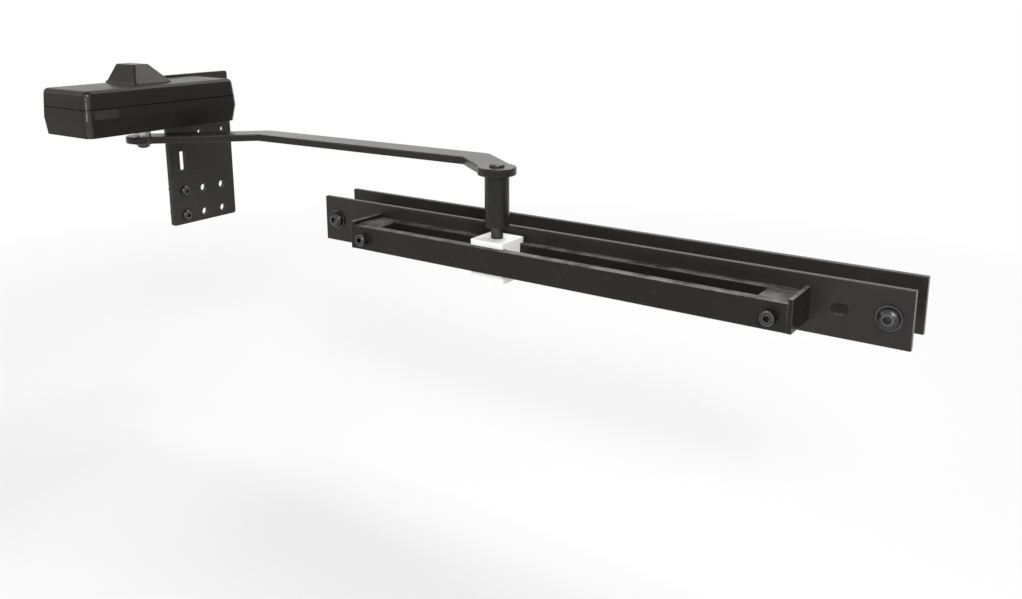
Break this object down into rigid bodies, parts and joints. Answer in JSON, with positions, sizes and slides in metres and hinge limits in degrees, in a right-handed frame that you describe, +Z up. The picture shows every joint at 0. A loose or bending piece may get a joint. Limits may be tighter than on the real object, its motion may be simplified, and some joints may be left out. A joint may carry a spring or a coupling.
{
  "type": "slide arm door closer",
  "caption": "Gate closer with a covered closer body on an upright post plate and a cranked arm whose nylon slider runs between rails on a gate track.",
  "frame": {"origin": "middle of the post plate's bolt grid, on the plate's back face that lies on the post", "axes": "+X along the closed gate and away from the post, +Y through the gate away from its front, +Z up"},
  "size_m": [0.9103, 0.254, 0.2092],
  "materials": {
    "plate_paint": "black powder coat, satin",
    "rail_paint": "black powder coat, satin",
    "arm_paint": "black paint over steel, satin",
    "cover_plastic": "moulded, fine grain",
    "iron": "as cast, painted",
    "steel": "ground",
    "zinc": "black zinc, worn bright at the edges",
    "bronze": "sintered bronze",
    "seal_rubber": "matt",
    "nylon": "white nylon, satin"
  },
  "bodies": {
    "closer": {"post_plate": "plate_paint", "post_screws": "zinc", "body_screws": "zinc", "housing": "iron", "near_plug": "steel", "far_plug": "steel", "top_bush": "bronze", "bottom_bush": "bronze", "shaft_seal": "seal_rubber", "closing_spring": "steel", "cover": "cover_plastic"},
    "piston": {"rack_piston": "steel"},
    "closing_valve": {"valve_closing": "steel"},
    "latching_valve": {"valve_latching": "steel"},
    "arm": {"pinion_spindle": "steel", "slide_arm": "arm_paint", "hub_washer": "zinc", "hub_screw": "zinc", "pivot_pin": "zinc", "spacer_tube": "arm_paint"},
    "slider": {"slider_block": "nylon"},
    "track": {"track_plate": "plate_paint", "front_rail": "rail_paint", "back_rail": "rail_paint", "left_stop": "rail_paint", "right_stop": "rail_paint", "rail_screws": "zinc", "clamp_plate": "plate_paint", "clamp_screws": "zinc", "clamp_washers": "zinc", "clamp_nuts": "zinc"}
  },
  "joints": [
    {"name": "arm_swing", "type": "hinge", "parent": "closer", "child": "arm", "pos_m": [0.049, -0.113, 0.097], "axis": [0, 0, 1], "range_deg": [-105, 0], "stiffness_Nm_per_rad": 8, "springref_deg": 45.84},
    {"name": "piston_slide", "type": "slide", "parent": "closer", "child": "piston", "axis": [0, 1, 0], "range_m": [0, 0.0166], "deforming": ["closing_spring"]},
    {"name": "slider_turn", "type": "hinge", "parent": "arm", "child": "slider", "pos_m": [0.506, -0.0467, 0.024], "axis": [0, 0, 1], "range_deg": [-20, 40]},
    {"name": "track_slide", "type": "slide", "parent": "slider", "child": "track", "axis": [1, 0, 0], "range_m": [-0.2, 0.1214]},
    {"name": "closing_valve_turn", "type": "hinge", "parent": "closer", "child": "closing_valve", "pos_m": [0.018, -0.194, 0.146], "axis": [0, 1, 0], "range_deg": [-180, 180]},
    {"name": "latching_valve_turn", "type": "hinge", "parent": "closer", "child": "latching_valve", "pos_m": [0.018, -0.194, 0.126], "axis": [0, 1, 0], "range_deg": [-180, 180]}
  ],
  "couplings": [
    {"joint": "piston_slide", "follows": "arm_swing", "m_per_rad": -0.009}
  ]
}
